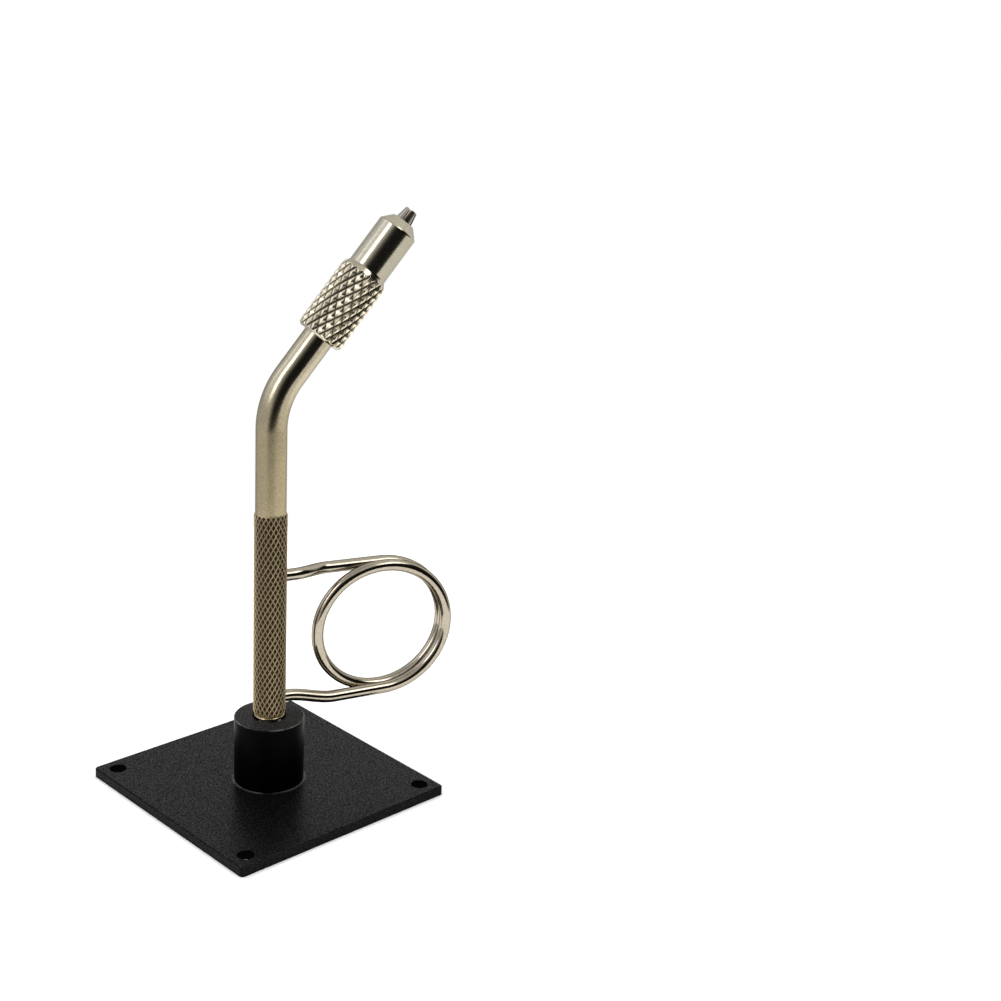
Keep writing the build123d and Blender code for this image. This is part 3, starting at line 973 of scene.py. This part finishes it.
class VISE_OT_stage(Operator):
    """Set up the camera, the white floor and the soft light"""

    bl_idname = "vise.stage"
    bl_label = "Stage"

    def execute(self, context):
        scene = context.scene
        stage = scene.vise_stage
        set_camera(scene, stage)
        lay_floor(scene, stage)
        set_surround(scene, stage)
        hang_lamp(scene, stage)
        scene.view_settings.view_transform = "Standard"
        return {"FINISHED"}


def set_camera(scene, stage):
    """Camera on a sphere round the target, looking at it, then rolled about its own view."""
    flat = math.cos(stage.elevation)
    back_x = math.sin(stage.azimuth) * flat
    back_y = -math.cos(stage.azimuth) * flat
    back = Vector((back_x, back_y, math.sin(stage.elevation)))
    facing = back.to_track_quat("Z", "Y").to_matrix().to_4x4()
    place = Matrix.Translation(Vector(stage.target) + back * stage.distance)
    data = bpy.data.cameras.new("camera")
    data.lens = stage.lens
    data.clip_start = 10 * MM
    made = bpy.data.objects.new("camera", data)
    made.matrix_world = place @ facing @ Matrix.Rotation(stage.roll, 4, "Z")
    scene.collection.objects.link(made)
    scene.camera = made


def lay_floor(scene, stage):
    """Thin white disc just under the plate."""
    underside = -1 * MM
    height = np.array((underside, -stage.floor_gap))
    points = upright(height, stage.floor_radius, ring_angles(ROUND["floor"]))
    mesh = mesh_of("floor", points)
    white = rgba(stage.floor)
    finish = material("floor_white", Base_Color=white, Roughness=0.8, Specular_IOR_Level=0.0)[0]
    mesh.materials.append(finish)
    made = bpy.data.objects.new("floor", mesh)
    scene.collection.objects.link(made)


def set_surround(scene, stage):
    """White room with a dark front and two softboxes, laid out in ROOM, and plain white for the camera.

    The dark front is lit a little by the softbox on the left, so it brightens that way.
    """
    world = bpy.data.worlds.new("surround")
    world.use_nodes = True
    scene.world = world
    paint = Paint(world.node_tree, "Background")
    way = paint.node("ShaderNodeTexCoord", output="Generated")
    x, y, z = (paint.along(axis, way) for axis in "XYZ")
    azimuth = paint.math("ARCTAN2", x, 0 - y) * math.degrees(1)
    elevation = paint.math("ARCSINE", z) * math.degrees(1)

    def band(value, rise, risen, fall, fallen):
        """One between two limits, with a smooth step at each."""
        return paint.step(value, rise, risen) * (1 - paint.step(value, fall, fallen))

    def region(name, level=elevation):
        """Strength of a region of the room inside it, nought outside."""
        strength, sides, heights = ROOM[name]
        return strength * band(azimuth, *sides) * band(level, *heights)

    front = region("front", elevation - 0.02 * azimuth)
    left = 1 - paint.step(azimuth, -58, -5)
    shade = stage.dark + 0.6 * left * left * left
    right = 0.25 * paint.step(x, -0.2, 0.5)
    low = 0.06 * (1 - paint.step(elevation, -14, -6))
    room = stage.surround + right + low + region("spill") + region("strip")
    boxes = region("softbox") + region("key")
    glow = room * (1 - front) + shade * front + stage.softbox * boxes
    seen = paint.node("ShaderNodeLightPath", output="Is Camera Ray")
    cool = (1 - seen) * band(azimuth, -180, -150, -120, -50)
    cool_white = (0.98, 1.0, 1.1)
    paint.set(Color=paint.mix(cool, (1, 1, 1), cool_white), Strength=seen + (1 - seen) * glow)


def hang_lamp(scene, stage):
    """Soft light overhead, a metre across, which the metal does not mirror."""
    light = bpy.data.lights.new("overhead", "AREA")
    light.shape = "DISK"
    light.size = 1.0
    light.energy = stage.overhead
    made = bpy.data.objects.new("overhead", light)
    made.visible_glossy = False
    made.location = stage.overhead_place
    aim = Vector((0, 0, 50 * MM))
    made.rotation_euler = (aim - made.location).to_track_quat("-Z", "Y").to_euler()
    scene.collection.objects.link(made)


class VISE_PT_panel(Panel):
    """Lists the steps that build the vise"""

    bl_idname = "VISE_PT_panel"
    bl_label = "Fly tying vise"
    bl_space_type = "VIEW_3D"
    bl_region_type = "UI"
    bl_category = "Vise"

    def draw(self, context):
        for step in STEPS:
            self.layout.operator(step.bl_idname)


SETTINGS = {
    "vise_base": ViseBase,
    "vise_stem": ViseStem,
    "vise_stud": ViseStud,
    "vise_loop": ViseLoop,
    "vise_head": ViseHead,
    "vise_stage": ViseStage,
}
STEPS = (
    VISE_OT_stage,
    VISE_OT_base,
    VISE_OT_stem,
    VISE_OT_stud,
    VISE_OT_loop,
    VISE_OT_sleeve,
    VISE_OT_jaws,
)


def register():
    """Register the settings, the steps and the panel."""
    for name, group in SETTINGS.items():
        bpy.utils.register_class(group)
        setattr(bpy.types.Scene, name, PointerProperty(type=group))
    for step in STEPS:
        bpy.utils.register_class(step)
    bpy.utils.register_class(VISE_PT_panel)


def unregister():
    """Undo register."""
    bpy.utils.unregister_class(VISE_PT_panel)
    for step in reversed(STEPS):
        bpy.utils.unregister_class(step)
    for name, group in SETTINGS.items():
        delattr(bpy.types.Scene, name)
        bpy.utils.unregister_class(group)


def main():
    """Build the vise and its stage."""
    register()
    bpy.ops.vise.stage()
    bpy.ops.vise.base()
    bpy.ops.vise.stem()
    bpy.ops.vise.stud()
    bpy.ops.vise.loop()
    bpy.ops.vise.sleeve()
    bpy.ops.vise.jaws()


if __name__ == "__main__":
    main()
